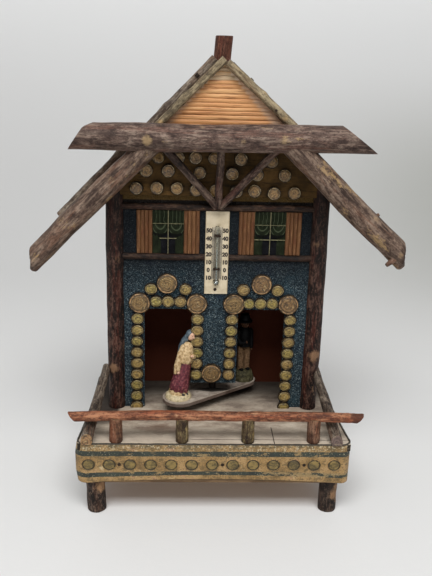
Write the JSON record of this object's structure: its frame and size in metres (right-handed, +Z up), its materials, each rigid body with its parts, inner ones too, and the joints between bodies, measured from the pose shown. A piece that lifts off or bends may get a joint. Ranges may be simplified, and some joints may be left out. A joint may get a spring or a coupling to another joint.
{
  "type": "weather house",
  "caption": "Rustic weather house of twigs and boards on a railed platform: figures on a turntable hung from a twisted gut swing out of the doors as the air dries or dampens.",
  "frame": {"origin": "on the table under the middle of the platform", "axes": "+Z up, +X to the right seen from the front, +Y from the front of the house to its rear; the front wall's face lies in y = 0"},
  "size_m": [0.25, 0.1147, 0.317],
  "materials": {
    "weathered_board": "bare board gone grey, open grain",
    "embossed_paper": "gilt embossed paper with dark green stripes, rubbed",
    "raw_board": "thin sawn board, stained dark red-brown inside the house",
    "dark_bark": "twigs with their bark on, worn at the ridges",
    "red_bark": "smooth reddish bark",
    "grey_twig": "weathered grey twig",
    "blue_sand": "board strewn with blue sand that glitters a little",
    "brown_moulding": "half-round split twig",
    "window_card": "painted card",
    "cream_paper": "cream paper strip",
    "reed": "split orange-brown reed",
    "twig_slice": "varnished cross-cut of a twig with a bark rim",
    "olive_panel": "varnished olive-brown board",
    "scale_cream": "cream lacquered scale",
    "tube_glass": "clear glass",
    "mercury": "liquid metal",
    "dark_wire": "browned iron wire",
    "turned_wood": "plain shaped wood",
    "gut": "twisted dry gut",
    "painted_figure": "painted composition"
  },
  "bodies": {
    "house": {"floor_board": "weathered_board", "edge_band": "embossed_paper", "front_apron": "raw_board", "rear_apron": "raw_board", "left_apron": "raw_board", "right_apron": "raw_board", "front_feet": "dark_bark", "rear_feet": "dark_bark", "balusters": "red_bark", "front_rail": "red_bark", "left_side_rail": "grey_twig", "right_side_rail": "grey_twig", "left_front_post": "dark_bark", "right_front_post": "dark_bark", "left_rear_post": "dark_bark", "right_rear_post": "dark_bark", "front_wall": "blue_sand", "left_wall": "blue_sand", "right_wall": "blue_sand", "rear_wall": "raw_board", "attic_floor": "raw_board", "upper_moulding": "brown_moulding", "left_lower_moulding": "brown_moulding", "right_lower_moulding": "brown_moulding", "left_window": "window_card", "right_window": "window_card", "window_bars": "cream_paper", "left_shutters": "reed", "right_shutters": "reed", "left_door_slices": "twig_slice", "right_door_slices": "twig_slice", "large_slices": "twig_slice", "gable_panel": "olive_panel", "gable_slices": "twig_slice", "king_strut": "dark_bark", "left_strut": "dark_bark", "right_strut": "dark_bark", "tie_log": "dark_bark", "left_barge_log": "dark_bark", "right_barge_log": "dark_bark", "left_gable_twig": "grey_twig", "right_gable_twig": "grey_twig", "attic_panel": "olive_panel", "attic_reeds": "reed", "left_roof_board": "weathered_board", "right_roof_board": "weathered_board", "verge_twigs": "grey_twig", "ridge_beam": "raw_board", "scale_plate": "scale_cream", "glass_tube": "tube_glass", "mercury": "mercury", "tube_clips": "dark_wire", "tacks": "dark_wire"},
    "turntable": {"turntable_board": "turned_wood", "stem": "turned_wood", "gut": "gut", "woman": "painted_figure", "man": "painted_figure"},
    "chimney_peg": {"chimney": "red_bark", "spindle": "turned_wood"}
  },
  "joints": [
    {"name": "turntable_swing", "type": "hinge", "parent": "house", "child": "turntable", "pos_m": [0, 0.012, 0.066], "axis": [0, 0, 1], "range_deg": [-76, 8], "stiffness_Nm_per_rad": 0.0005},
    {"name": "chimney_turn", "type": "hinge", "parent": "house", "child": "chimney_peg", "pos_m": [0, 0.012, 0.29], "axis": [0, 0, 1], "range_deg": [-180, 180]}
  ]
}
